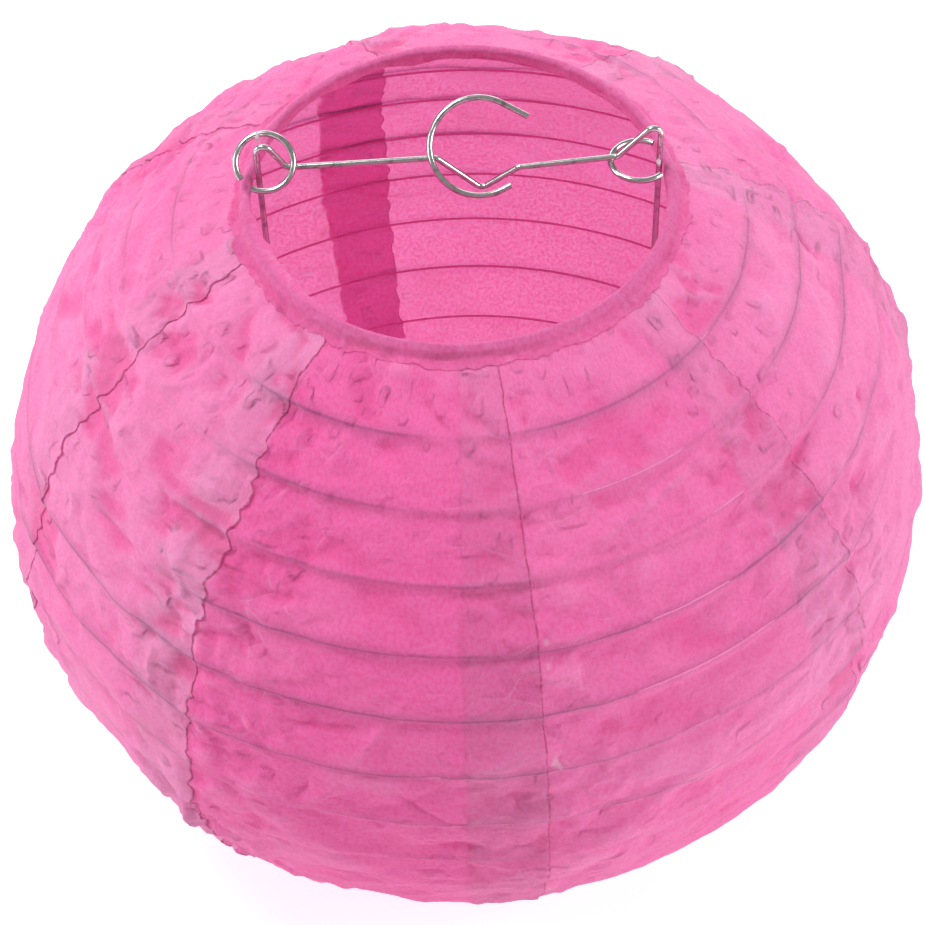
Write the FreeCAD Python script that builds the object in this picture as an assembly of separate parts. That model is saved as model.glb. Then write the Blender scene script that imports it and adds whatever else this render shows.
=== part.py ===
"""Round folding paper lantern: a ribbed paper shade held open by a bent-wire expander.

Units are millimetres, +Z is up, and the origin is on the surface that the lantern stands on,
under the centre of the shade.
Bearings are degrees about +Z, 0 at the front (-Y), growing towards +X.
"""
import FreeCAD, Part
import math
import os

from FreeCAD import Vector

# Shade: an ellipsoid of paper, cut off by the two end rings.
SHADE_RADIUS = 150.0
SHADE_HALF_HEIGHT = 138.0
PAPER = 0.20
LAYER_GAP = 0.05
TOP_RING_RADIUS = 63.3
BOTTOM_RING_RADIUS = 60.6
RING_WIRE = 1.9

# Paper hems folded round the end rings.
HEM_PAPER = 0.30
HEM_FLAP = 4.6
HEM_LIFT = 0.35
FOOT_PRESS = 0.10

# Gores: every second one lies outside its two neighbours and laps over them.
OUTER_GORES = ((292.0, 325.0), (8.0, 53.0), (100.0, 145.0), (190.5, 240.0))
LAP_DEGREES = 9.5
GORE_RING_GAP = 0.35

# Rib hoops inside the paper, evenly spaced along the shade's curve.
RIB_COUNT = 15
RIB_WIRE = 0.8
FIRST_RIB = 25.4
RIB_PITCH = 20.7
RIB_GAP = 0.12

# Expander: one closed loop of bent wire, drawn by its corners along X, each with its bend radius.
WIRE = 1.8
EXPANDER_Y = 6.0
CROSSBAR_ABOVE_RING = 5.5
LEG_LEFT_X = -59.4
LEG_RIGHT_X = 60.1
PEAK_LEFT = 14.0
PEAK_RIGHT = 14.4
SHOULDER_LEFT_X = -50.8
SHOULDER_RIGHT_X = 47.6
NOTCH_LEFT_X = -6.2
NOTCH_LEFT_RISE = 1.8
NOTCH_X = 7.0
NOTCH_DEPTH = 11.2
NOTCH_RIGHT_X = 18.0
NOTCH_RIGHT_FALL = 3.1
FOOT_BEND = 6.0
PEAK_BEND = 2.2
CROSSBAR_BEND = 2.2
NOTCH_BEND = 2.4

# Open wire clips welded on the bars: the arc is the first and last angle of each one's wire.
WELD_BITE = 0.08
CLIP_RADIUS = 8.6
LEFT_RIM_WELD_X = -48.6
RIGHT_RIM_WELD_X = 45.6
FOOT_WELD_X = 46.9
LEFT_RIM_TILT = 39.0
LEFT_RIM_SET_BACK = 1.4
LEFT_RIM_ARC = (-118.0, 214.0)
RIGHT_RIM_ARC = (58.0, 312.0)
LEFT_FOOT_ARC = (-128.0, 116.0)
RIGHT_FOOT_ARC = (64.0, 308.0)
SOCKET_RADIUS = 14.6
SOCKET_CENTRE_X = 6.5
SOCKET_TILT = 38.0
SOCKET_SET_BACK = 2.8
SOCKET_ARC = (61.0, 295.0)
SOCKET_TAILS = (8.9, 3.2)
PART_GAP = 0.35


def ring_depth(radius):
    """Height from the shade's equator to where its surface has this radius."""
    return SHADE_HALF_HEIGHT * math.sqrt(1.0 - (radius / SHADE_RADIUS) ** 2)


HEM_TUBE = RING_WIRE / 2.0 + HEM_PAPER
BOTTOM_RING_Z = HEM_TUBE - FOOT_PRESS
RIB_INSET = 2.0 * PAPER + LAYER_GAP + RIB_GAP + RIB_WIRE / 2.0
EQUATOR_Z = BOTTOM_RING_Z + ring_depth(BOTTOM_RING_RADIUS)
TOP_RING_Z = EQUATOR_Z + ring_depth(TOP_RING_RADIUS)
CROSSBAR_Z = TOP_RING_Z + CROSSBAR_ABOVE_RING
WELD_STEP = WIRE - WELD_BITE
FOOT_CLIP_Z = BOTTOM_RING_Z + HEM_TUBE + PART_GAP + WIRE / 2.0
BOTTOM_BAR_Z = FOOT_CLIP_Z + WELD_STEP


def height_at(radius, inset, side):
    """Height where the surface moved inwards by inset has this radius; side is 1 above, -1 below."""
    share = radius / (SHADE_RADIUS - inset)
    return EQUATOR_Z + side * (SHADE_HALF_HEIGHT - inset) * math.sqrt(1.0 - share * share)


def curve_point(turn, inset):
    """Radius and height on the surface moved inwards by inset, at an angle from its top pole."""
    radius = (SHADE_RADIUS - inset) * math.sin(turn)
    return radius, EQUATOR_Z + (SHADE_HALF_HEIGHT - inset) * math.cos(turn)


def rib_turns():
    """Angle from the top pole to each rib, from the top down, by walking along the shade's curve."""
    wide = SHADE_RADIUS - RIB_INSET
    tall = SHADE_HALF_HEIGHT - RIB_INSET
    turn = math.asin(TOP_RING_RADIUS / wide)
    step = math.radians(0.01)
    walked = 0.0
    turns = []
    while len(turns) < RIB_COUNT:
        if walked >= FIRST_RIB + len(turns) * RIB_PITCH:
            turns.append(turn)
        walked += step * math.hypot(wide * math.cos(turn), tall * math.sin(turn))
        turn += step
    return turns


def gore_side(inset):
    """One face of a gore in section: straight from rib to rib, from the top ring to the bottom."""
    wide = SHADE_RADIUS - inset
    first = math.asin((TOP_RING_RADIUS + HEM_TUBE + GORE_RING_GAP) / wide)
    last = math.pi - math.asin((BOTTOM_RING_RADIUS + HEM_TUBE + GORE_RING_GAP) / wide)
    return [curve_point(turn, inset) for turn in [first, *rib_turns(), last]]


def gore(start, end, inset):
    """One full-height paper panel between two bearings, its outer face inset from the shade's."""
    section = outline_face(gore_side(inset) + gore_side(inset + PAPER)[::-1])
    panel = section.revolve(Vector(0, 0, 0), Vector(0, 0, 1), (end - start) % 360.0)
    panel.rotate(Vector(0, 0, 0), Vector(0, 0, 1), start - 90.0)
    return panel


def gores():
    """Four outer gores and, between them, four inner gores that run on beneath their edges."""
    panels = {}
    number = 1
    for place, (start, end) in enumerate(OUTER_GORES):
        panels[f"gore_{number}"] = gore(start, end, 0.0)
        following = OUTER_GORES[(place + 1) % len(OUTER_GORES)][0]
        panels[f"gore_{number + 1}"] = gore(
            end - LAP_DEGREES, following + LAP_DEGREES, PAPER + LAYER_GAP
        )
        number += 2
    return panels


def hoop(radius, height, wire):
    """A level hoop of round wire."""
    return Part.makeTorus(radius, wire / 2.0, Vector(0, 0, height), Vector(0, 0, 1))


def disc_face(radius, height, size):
    """A round face in the XZ plane."""
    return Part.Face(Part.Wire(Part.makeCircle(size, Vector(radius, 0, height), Vector(0, 1, 0))))


def outline_face(points):
    """A flat face in the XZ plane from (x, z) corners."""
    corners = [Vector(x, 0, z) for x, z in points]
    return Part.Face(Part.makePolygon(corners + corners[:1]))


def hem(radius, height, side):
    """Folded paper round an end ring: a sleeve on the wire and a flap over the gores' ends."""
    near = radius + RING_WIRE / 2.0 + HEM_PAPER / 2.0
    far = near + HEM_FLAP
    under = -HEM_LIFT
    over = -HEM_LIFT - PAPER
    flap = outline_face(
        [
            (near, height_at(near, under, side)),
            (far, height_at(far, under, side)),
            (far, height_at(far, over, side)),
            (near, height_at(near, over, side)),
        ]
    )
    section = disc_face(radius, height, HEM_TUBE).fuse(flap)
    if side < 0:
        left = radius - RING_WIRE
        right = radius + RING_WIRE
        below = outline_face([(left, 0.0), (right, 0.0), (right, -RING_WIRE), (left, -RING_WIRE)])
        section = section.cut(below)
    section = section.cut(disc_face(radius, height, RING_WIRE / 2.0)).removeSplitter()
    return section.Faces[0].revolve(Vector(0, 0, 0), Vector(0, 0, 1), 360.0)


def filleted_wire(points, bends):
    """Straight runs through the points, with a tangent arc of the given radius at each bend."""
    starts = {}
    edges = []
    for place in range(1, len(points) - 1):
        corner = points[place]
        back = (points[place - 1] - corner).normalize()
        ahead = (points[place + 1] - corner).normalize()
        half = back.getAngle(ahead) / 2.0
        bend = bends[place]
        reach = bend / math.tan(half)
        middle = (back + ahead).normalize() * (bend / math.sin(half) - bend)
        arc_start = corner + back * reach
        arc_end = corner + ahead * reach
        edges.append(Part.makeLine(starts.get(place - 1, points[place - 1]), arc_start))
        edges.append(Part.Arc(arc_start, corner + middle, arc_end).toShape())
        starts[place] = arc_end
    edges.append(Part.makeLine(starts[len(points) - 2], points[-1]))
    return Part.Wire(edges)


def swept(path):
    """Round expander wire along a path."""
    first = path.OrderedEdges[0]
    start = first.valueAt(first.FirstParameter)
    along = first.tangentAt(first.FirstParameter)
    profile = Part.Wire(Part.makeCircle(WIRE / 2.0, start, along))
    return path.makePipeShell([profile], True, False)


def frame_wire():
    """The main loop: bottom bar, two legs, two peaks and a crossbar that slants to a hanging notch."""
    corners = [
        (0.0, BOTTOM_BAR_Z, 0.0),
        (LEG_RIGHT_X, BOTTOM_BAR_Z, FOOT_BEND),
        (LEG_RIGHT_X, CROSSBAR_Z + PEAK_RIGHT, PEAK_BEND),
        (SHOULDER_RIGHT_X, CROSSBAR_Z, CROSSBAR_BEND),
        (NOTCH_RIGHT_X, CROSSBAR_Z - NOTCH_RIGHT_FALL, CROSSBAR_BEND),
        (NOTCH_X, CROSSBAR_Z - NOTCH_DEPTH, NOTCH_BEND),
        (NOTCH_LEFT_X, CROSSBAR_Z + NOTCH_LEFT_RISE, CROSSBAR_BEND),
        (SHOULDER_LEFT_X, CROSSBAR_Z, CROSSBAR_BEND),
        (LEG_LEFT_X, CROSSBAR_Z + PEAK_LEFT, PEAK_BEND),
        (LEG_LEFT_X, BOTTOM_BAR_Z, FOOT_BEND),
        (0.0, BOTTOM_BAR_Z, 0.0),
    ]
    points = [Vector(x, EXPANDER_Y, z) for x, z, _ in corners]
    return swept(filleted_wire(points, [bend for _, _, bend in corners]))


def clip(centre, tilt, arc, radius=CLIP_RADIUS, tails=()):
    """A C of wire in a plane tilted about X, through the angles of its arc, with straight tails."""
    lean = math.radians(tilt)
    across = Vector(1, 0, 0)
    away = Vector(0, math.cos(lean), math.sin(lean))
    start, end = arc

    def at(angle):
        turn = math.radians(angle)
        return centre + across * (radius * math.cos(turn)) + away * (radius * math.sin(turn))

    def heading(angle):
        turn = math.radians(angle)
        return across * -math.sin(turn) + away * math.cos(turn)

    edges = [Part.Arc(at(start), at((start + end) / 2.0), at(end)).toShape()]
    if tails:
        before = Part.makeLine(at(start) - heading(start) * tails[0], at(start))
        after = Part.makeLine(at(end), at(end) + heading(end) * tails[1])
        edges = [before] + edges + [after]
    return swept(Part.Wire(edges))


def welded_centre(x, bar_z, side, tilt=0.0, set_back=0.0):
    """Centre of a clip whose wire lies one weld above (side 1) or below (side -1) a bar."""
    lean = math.radians(tilt)
    normal = Vector(0, -math.sin(lean), math.cos(lean))
    away = Vector(0, math.cos(lean), math.sin(lean))
    return Vector(x, EXPANDER_Y, bar_z) + normal * (WELD_STEP * side) + away * set_back


def crossbar_height(x):
    """Height of the crossbar's centre at x, on either side of the notch."""
    if x < NOTCH_X:
        share = (x - SHOULDER_LEFT_X) / (NOTCH_LEFT_X - SHOULDER_LEFT_X)
        return CROSSBAR_Z + NOTCH_LEFT_RISE * share
    share = (SHOULDER_RIGHT_X - x) / (SHOULDER_RIGHT_X - NOTCH_RIGHT_X)
    return CROSSBAR_Z - NOTCH_RIGHT_FALL * share


def socket_ring():
    """The open ring that carries a lamp holder or a cord, leaning back over the crossbar."""
    weld_z = crossbar_height(SOCKET_CENTRE_X - SOCKET_RADIUS)
    centre = welded_centre(SOCKET_CENTRE_X, weld_z, 1, SOCKET_TILT, SOCKET_SET_BACK)
    return clip(centre, SOCKET_TILT, SOCKET_ARC, SOCKET_RADIUS, SOCKET_TAILS)


def rim_clips():
    """The two clips on the crossbar: the left one leans over the rim, the right one is level."""
    left_z = crossbar_height(LEFT_RIM_WELD_X)
    right_z = crossbar_height(RIGHT_RIM_WELD_X)
    left_x = LEFT_RIM_WELD_X - CLIP_RADIUS
    left = welded_centre(left_x, left_z, 1, LEFT_RIM_TILT, LEFT_RIM_SET_BACK)
    right = welded_centre(RIGHT_RIM_WELD_X + CLIP_RADIUS, right_z, -1)
    return {
        "left_rim_clip": clip(left, LEFT_RIM_TILT, LEFT_RIM_ARC),
        "right_rim_clip": clip(right, 0.0, RIGHT_RIM_ARC),
    }


def foot_clips():
    """The two level clips under the bottom bar."""
    x = FOOT_WELD_X + CLIP_RADIUS
    return {
        "left_foot_clip": clip(welded_centre(-x, BOTTOM_BAR_Z, -1), 0.0, LEFT_FOOT_ARC),
        "right_foot_clip": clip(welded_centre(x, BOTTOM_BAR_Z, -1), 0.0, RIGHT_FOOT_ARC),
    }


def lantern():
    """Every piece by name."""
    pieces = {
        "top_ring": hoop(TOP_RING_RADIUS, TOP_RING_Z, RING_WIRE),
        "top_hem": hem(TOP_RING_RADIUS, TOP_RING_Z, 1),
        "bottom_ring": hoop(BOTTOM_RING_RADIUS, BOTTOM_RING_Z, RING_WIRE),
        "bottom_hem": hem(BOTTOM_RING_RADIUS, BOTTOM_RING_Z, -1),
        "frame_wire": frame_wire(),
        "socket_ring": socket_ring(),
    }
    pieces.update(rim_clips())
    pieces.update(foot_clips())
    pieces.update(gores())
    for number, turn in enumerate(rib_turns(), start=1):
        pieces[f"rib_{number:02d}"] = hoop(*curve_point(turn, RIB_INSET), RIB_WIRE)
    return pieces


os.makedirs("parts", exist_ok=True)
for name, piece in lantern().items():
    piece.exportStep(f"parts/{name}.step")
    print(f"{name}: {piece.Volume:.1f} mm3, valid {piece.isValid()}, {piece.ShapeType}")
print(f"top ring {TOP_RING_Z:.2f}, crossbar {CROSSBAR_Z:.2f}, equator {EQUATOR_Z:.2f}")
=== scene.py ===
"""Folding paper lantern: crinkled paper, hems, wire finishes and a studio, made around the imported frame.

Lengths are metres. Bearings are degrees about +Z, 0 at the front (-Y), growing towards +X.
A place on the shade is a bearing and the distance walked along its curve from the top ring.
"""
import logging
import math
from dataclasses import dataclass, field
from enum import Enum

import bpy
import numpy as np
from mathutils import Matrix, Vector


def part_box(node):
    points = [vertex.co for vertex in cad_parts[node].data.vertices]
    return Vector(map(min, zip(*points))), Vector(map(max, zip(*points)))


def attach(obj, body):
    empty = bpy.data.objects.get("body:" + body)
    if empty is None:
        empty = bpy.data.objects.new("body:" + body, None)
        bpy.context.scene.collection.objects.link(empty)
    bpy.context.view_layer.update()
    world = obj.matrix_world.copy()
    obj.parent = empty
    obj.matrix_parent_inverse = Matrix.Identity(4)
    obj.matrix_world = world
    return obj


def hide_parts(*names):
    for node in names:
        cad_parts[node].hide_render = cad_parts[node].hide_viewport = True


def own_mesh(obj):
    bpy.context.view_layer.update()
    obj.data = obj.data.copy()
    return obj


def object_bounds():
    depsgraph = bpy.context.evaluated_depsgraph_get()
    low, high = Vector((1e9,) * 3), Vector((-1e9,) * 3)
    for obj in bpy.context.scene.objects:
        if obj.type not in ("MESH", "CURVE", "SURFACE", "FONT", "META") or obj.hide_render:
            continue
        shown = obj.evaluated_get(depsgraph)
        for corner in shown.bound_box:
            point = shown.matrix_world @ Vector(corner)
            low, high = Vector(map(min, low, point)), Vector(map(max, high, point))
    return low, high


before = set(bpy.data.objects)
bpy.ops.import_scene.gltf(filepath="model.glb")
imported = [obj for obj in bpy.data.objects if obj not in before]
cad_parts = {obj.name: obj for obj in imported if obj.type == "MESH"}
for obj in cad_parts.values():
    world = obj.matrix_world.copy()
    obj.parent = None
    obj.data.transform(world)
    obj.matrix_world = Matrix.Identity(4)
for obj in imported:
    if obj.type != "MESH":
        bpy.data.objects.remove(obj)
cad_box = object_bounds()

LOG = logging.getLogger("paper_lantern")
MM = 0.001


class End(Enum):
    """The two ends of the shade; the value is the direction away from its middle."""

    TOP = 1
    BOTTOM = -1


def smooth_step(value: np.ndarray, low: float, high: float) -> np.ndarray:
    """Rise smoothly from 0 at low to 1 at high."""
    share = np.clip((value - low) / (high - low), 0.0, 1.0)
    return share * share * (3.0 - 2.0 * share)


def bearing_gap(bearing: np.ndarray, other: float) -> np.ndarray:
    """Signed turn in degrees from one bearing to others, the short way round."""
    return (bearing - other + 180.0) % 360.0 - 180.0


def clear_selection() -> None:
    """Deselect every object, so that an operator acts on its own piece only."""
    bpy.ops.object.select_all(action="DESELECT")


def make_active(piece: bpy.types.Object) -> None:
    """Select one piece alone and make it active."""
    clear_selection()
    piece.select_set(True)
    bpy.context.view_layer.objects.active = piece


def in_edit_mode(piece: bpy.types.Object) -> None:
    """Open a piece in edit mode with everything selected."""
    make_active(piece)
    bpy.ops.object.mode_set(mode="EDIT")
    bpy.ops.mesh.select_all(action="SELECT")


def out_of_edit_mode() -> None:
    """Close edit mode."""
    bpy.ops.object.mode_set(mode="OBJECT")


def apply_modifier(piece: bpy.types.Object, kind: str, **settings: object) -> None:
    """Add a modifier, set it and apply it.

    Args:
        piece: the object that it acts on.
        kind: the modifier's type.
        settings: the modifier's properties.
    """
    make_active(piece)
    modifier = piece.modifiers.new(kind.title(), kind)
    for name, value in settings.items():
        setattr(modifier, name, value)
    bpy.ops.object.modifier_apply(modifier=modifier.name)


def settle(piece: bpy.types.Object) -> None:
    """Put a piece's place, turn and scale into its mesh."""
    make_active(piece)
    bpy.ops.object.transform_apply(location=True, rotation=True, scale=True)


def shade_smooth(piece: bpy.types.Object) -> None:
    """Shade every face of a piece smoothly."""
    make_active(piece)
    bpy.ops.object.shade_smooth()


def grid_sheet(name: str, columns: int, rows: int) -> tuple[bpy.types.Object, np.ndarray, np.ndarray]:
    """Add a flat unit grid, ready to be shaped.

    Args:
        name: the piece's name.
        columns: faces across.
        rows: faces up.

    Returns:
        The piece, and each vertex's share across and share up, from 0 to 1.
    """
    clear_selection()
    bpy.ops.mesh.primitive_grid_add(x_subdivisions=columns, y_subdivisions=rows, size=1.0)
    piece = bpy.context.object
    piece.name = name
    piece.data.name = name
    flat = np.zeros(len(piece.data.vertices) * 3)
    piece.data.vertices.foreach_get("co", flat)
    flat = flat.reshape(-1, 3)
    return piece, np.clip(flat[:, 0] + 0.5, 0.0, 1.0), np.clip(flat[:, 1] + 0.5, 0.0, 1.0)


def move_vertices(piece: bpy.types.Object, places: np.ndarray) -> None:
    """Put a piece's vertices at new places."""
    piece.data.vertices.foreach_set("co", places.reshape(-1))
    piece.data.update()


def paint_attribute(piece: bpy.types.Object, name: str, values: np.ndarray) -> None:
    """Store one number for each vertex, for a finish to read."""
    attribute = piece.data.attributes.new(name, "FLOAT", "POINT")
    attribute.data.foreach_set("value", values.astype(np.float32))


def lay_out_uv(piece: bpy.types.Object, across: np.ndarray, along: np.ndarray) -> None:
    """Give a piece a UV map whose units are metres of flat paper.

    Args:
        piece: the sheet.
        across: each vertex's distance across the sheet.
        along: each vertex's distance along the sheet.
    """
    corner_vertex = np.zeros(len(piece.data.loops), dtype=np.int32)
    piece.data.loops.foreach_get("vertex_index", corner_vertex)
    flat = np.stack([across[corner_vertex], along[corner_vertex]], axis=1)
    layer = piece.data.uv_layers.active or piece.data.uv_layers.new(name="Flat")
    layer.name = "Flat"
    layer.data.foreach_set("uv", flat.reshape(-1).astype(np.float32))


@dataclass(frozen=True)
class ShadeCurve:
    """The shade's side: an ellipse that runs down from the top ring to the bottom ring."""

    radius: float
    half_height: float
    equator: float
    top_ring: float
    bottom_ring: float
    top_height: float
    bottom_height: float

    @classmethod
    def from_frame(cls) -> "ShadeCurve":
        """Work the ellipse out from the shade's width and its two rings in the frame.

        Returns:
            The curve.
        """
        rings = []
        for node in ("top_ring", "bottom_ring"):
            low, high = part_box(node)
            wire = high.z - low.z
            rings.append(((high.x - low.x - wire) / 2.0, (high.z + low.z) / 2.0))
        radius = (cad_box[1][0] - cad_box[0][0]) / 2.0
        depths = [math.sqrt(1.0 - (ring / radius) ** 2) for ring, _ in rings]
        half_height = (rings[0][1] - rings[1][1]) / sum(depths)
        return cls(
            radius=radius,
            half_height=half_height,
            equator=rings[1][1] + half_height * depths[1],
            top_ring=rings[0][0],
            bottom_ring=rings[1][0],
            top_height=rings[0][1],
            bottom_height=rings[1][1],
        )

    def table(self) -> tuple[np.ndarray, np.ndarray]:
        """Walk the curve in small steps.

        Returns:
            The distance walked at each step, and the angle from the top pole there.
        """
        first = math.asin(self.top_ring / self.radius)
        last = math.pi - math.asin(self.bottom_ring / self.radius)
        turns = np.linspace(first, last, 4001)
        middle = (turns[1:] + turns[:-1]) / 2.0
        pace = np.hypot(self.radius * np.cos(middle), self.half_height * np.sin(middle))
        steps = pace * (turns[1] - turns[0])
        return np.concatenate([[0.0], np.cumsum(steps)]), turns

    def length(self) -> float:
        """Distance along the curve from the top ring to the bottom ring."""
        return float(self.table()[0][-1])

    def side(self, walked: np.ndarray) -> tuple[np.ndarray, np.ndarray, np.ndarray, np.ndarray]:
        """Radius, height, and the outward normal's two parts at each distance walked."""
        distances, turns = self.table()
        turn = np.interp(walked, distances, turns)
        out = self.half_height * np.sin(turn)
        up = self.radius * np.cos(turn)
        size = np.hypot(out, up)
        return (
            self.radius * np.sin(turn),
            self.equator + self.half_height * np.cos(turn),
            out / size,
            up / size,
        )

    def walked_beside(self, radius: float, height: float) -> float:
        """Distance walked down to the place beside a hoop inside the paper."""
        distances, turns = self.table()
        turn = math.atan2(radius / self.radius, (height - self.equator) / self.half_height)
        return float(np.interp(turn, turns, distances))


@dataclass(frozen=True)
class Seam:
    """A glued seam between two gores, where the left gore's edge lies on the right one."""

    bearing: float
    ridge: float
    stray: float
    curl: float
    creased: float
    glue: float
    # painted light of the gore whose outer edge is this seam: lighter where light falls more on that side
    light_and_tone: float


@dataclass(frozen=True)
class Fold:
    """One sharp crease in the paper, standing out or pressed in."""

    bearing: float
    walked: float
    slant: float
    length: float
    height: float
    width: float
    bend: float


@dataclass(frozen=True)
class Crumple:
    """Facets of one size, in millimetres, and how much of their height is kept for the seams."""

    cell: float
    stretch: float
    slant: float
    height: float
    at_seams: float
    key: int


CRUMPLES = (
    Crumple(24.0, 3.2, 0.5, 1.35, 0.15, 31),
    Crumple(13.0, 2.6, -0.6, 1.25, 0.2, 32),
    Crumple(7.5, 1.9, 0.4, 0.85, 0.35, 33),
    Crumple(4.6, 1.4, -0.3, 0.46, 0.5, 34),
    Crumple(2.9, 1.1, 0.2, 0.22, 0.7, 35),
)


@dataclass
class PaperRelief:
    """How the glued paper departs from the plain curve: sags, puckers, facets and folds."""

    curve: ShadeCurve
    ribs: list[float]
    seams: tuple[Seam, ...]
    seed: int = 11
    rib_sag: float = 1.25 * MM
    fall: float = 0.13
    seam_reach: float = 11.0
    crease_reach: float = 24.0 * MM
    seam_folds: int = 120
    loose_folds: int = 900
    held_reach: float = 30.0 * MM
    ridge_fade: float = 90.0 * MM
    swell: tuple[float, float] = (62.0 * MM, 0.8 * MM)
    ripple: tuple[float, float] = (26.0 * MM, 0.45 * MM)
    rib_grip: float = 1.5 * MM
    smoothed_on_rib: float = 0.55
    rib_ridge_width: float = 3.4 * MM
    rib_ridge: float = 2.4 * MM
    deepest: float = 2.8 * MM
    folds: list[Fold] = field(default_factory=list)
    grids: dict[tuple, np.ndarray] = field(default_factory=dict)

    def __post_init__(self) -> None:
        """Scatter the folds, most of them along the seams."""
        chance = np.random.default_rng(self.seed)
        total = self.curve.length()
        for seam in self.seams:
            for _ in range(int(self.seam_folds * seam.creased)):
                walked = chance.uniform(0.0, total)
                radius = float(self.curve.side(np.array([walked]))[0][0])
                away = chance.gamma(1.5, 10.0 * MM) * chance.choice([-1.0, 1.0])
                self.folds.append(
                    Fold(
                        bearing=(seam.bearing + math.degrees(away / radius)) % 360.0,
                        walked=walked,
                        slant=chance.normal(0.0, 34.0),
                        length=chance.uniform(7.0, 40.0) * MM,
                        height=chance.normal(0.2, 0.95) * MM,
                        width=chance.uniform(0.8, 2.4) * MM,
                        bend=chance.normal(0.0, 7.0),
                    )
                )
        for _ in range(self.loose_folds):
            self.folds.append(
                Fold(
                    bearing=chance.uniform(0.0, 360.0),
                    walked=chance.uniform(0.0, total),
                    slant=chance.normal(0.0, 30.0) + chance.choice([0.0, 0.0, 0.0, 80.0]),
                    length=chance.gamma(2.2, 8.5 * MM),
                    height=chance.normal(0.12, 0.7) * MM,
                    width=chance.uniform(0.7, 2.2) * MM,
                    bend=chance.normal(0.0, 7.0),
                )
            )

    def cells(
        self, bearing: np.ndarray, walked: np.ndarray, cell: float, stretch: float, key: int
    ) -> tuple[np.ndarray, ...]:
        """Find each place in a grid of random heights that closes round the shade.

        Args:
            bearing: bearings in degrees.
            walked: distances along the curve.
            cell: the grid's size along the curve.
            stretch: how many times longer its cells are round the shade.
            key: which grid.

        Returns:
            The shares down and round each cell, the four corner heights, and the cell's number.
        """
        rows = int(self.curve.length() / cell) + 12
        columns = max(4, round(2.0 * math.pi * self.curve.radius / (cell * stretch)))
        grid = self.grids.get((key, rows, columns))
        if grid is None:
            grid = np.random.default_rng((self.seed, key)).uniform(-1.0, 1.0, (rows, columns))
            self.grids[(key, rows, columns)] = grid
        down = np.clip(walked / cell + 5.0, 0.0, rows - 1.001)
        round_it = (bearing % 360.0) / 360.0 * columns
        row = down.astype(int)
        column = np.floor(round_it).astype(int)
        left = column % columns
        right = (column + 1) % columns
        corners = (grid[row, left], grid[row, right], grid[row + 1, left], grid[row + 1, right])
        return (down - row, round_it - column, *corners, row + left)

    def noise(
        self, bearing: np.ndarray, walked: np.ndarray, cell: float, stretch: float, key: int
    ) -> np.ndarray:
        """Smooth noise from -1 to 1 over the shade.

        Args:
            bearing: bearings in degrees.
            walked: distances along the curve.
            cell: the noise's size along the curve.
            stretch: how many times longer it is round the shade.
            key: which pattern.

        Returns:
            The noise at each place.
        """
        down, across, first, second, third, fourth, _ = self.cells(bearing, walked, cell, stretch, key)
        down = smooth_step(down, 0.0, 1.0)
        across = smooth_step(across, 0.0, 1.0)
        above = first * (1.0 - across) + second * across
        below = third * (1.0 - across) + fourth * across
        return above * (1.0 - down) + below * down

    def facets(
        self, bearing: np.ndarray, walked: np.ndarray, cell: float, stretch: float, slant: float, key: int
    ) -> np.ndarray:
        """Flat three-cornered facets with sharp edges, as in paper that was crushed and pulled flat.

        Args:
            bearing: bearings in degrees.
            walked: distances along the curve.
            cell: the facets' size along the curve.
            stretch: how many times longer they are round the shade.
            slant: how far they lean, as metres down for each metre round.
            key: which pattern.

        Returns:
            Heights from -1 to 1.
        """
        around = np.radians(bearing) * self.curve.radius
        stray = self.noise(bearing, walked, cell * 1.1, stretch, key + 500) * cell * 0.45
        drift = self.noise(bearing, walked, cell * 1.3, stretch, key + 600) * cell * stretch * 0.45
        leaning = np.sin(around / self.curve.radius + key) * self.curve.radius * slant
        turned = bearing + np.degrees(drift / self.curve.radius)
        down, across, first, second, third, fourth, number = self.cells(
            turned, walked + stray + leaning, cell, stretch, key
        )
        falling = np.where(
            across > down,
            first + (second - first) * across + (fourth - second) * down,
            first + (third - first) * down + (fourth - third) * across,
        )
        rising = np.where(
            across + down < 1.0,
            first + (second - first) * across + (third - first) * down,
            fourth + (third - fourth) * (1.0 - across) + (second - fourth) * (1.0 - down),
        )
        return np.where(number % 2 == 0, falling, rising)

    def crumple(self, bearing: np.ndarray, walked: np.ndarray, near_seam: np.ndarray) -> np.ndarray:
        """Add up facets of falling size, crushed most near the seams.

        Args:
            bearing: bearings in degrees.
            walked: distances along the curve.
            near_seam: 1 at a creased seam, falling to 0 away from it.

        Returns:
            The height that they give.
        """
        patchy = 1.0 + 0.55 * self.noise(bearing, walked, 38.0 * MM, 1.3, 23)
        total = np.zeros_like(bearing)
        for one in CRUMPLES:
            strength = 1.0 - one.at_seams + one.at_seams * (0.5 + 1.4 * near_seam)
            facets = self.facets(bearing, walked, one.cell * MM, one.stretch, one.slant, one.key)
            total += facets * one.height * MM * strength
        return total * patchy

    def fold_height(self, bearing: np.ndarray, walked: np.ndarray, radius: np.ndarray) -> np.ndarray:
        """Add up the single folds.

        Args:
            bearing: bearings in degrees.
            walked: distances along the curve.
            radius: the shade's radius there.

        Returns:
            The height that the folds give.
        """
        total = np.zeros_like(bearing)
        for fold in self.folds:
            down = walked - fold.walked
            turn = np.radians(bearing_gap(bearing, fold.bearing))
            reach = fold.length * 0.6 + 3.0 * fold.width
            near = np.nonzero((np.abs(down) < reach) & (np.abs(turn * self.curve.top_ring) < reach))[0]
            if len(near) == 0:
                continue
            lean = math.radians(fold.slant)
            across = turn[near] * radius[near]
            along = across * math.cos(lean) + down[near] * math.sin(lean)
            off = down[near] * math.cos(lean) - across * math.sin(lean) - fold.bend * along**2
            taper = np.clip(1.0 - (2.0 * along / fold.length) ** 2, 0.0, 1.0)
            total[near] += fold.height * taper * np.exp(-np.abs(off) / fold.width)
        return total

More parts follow.
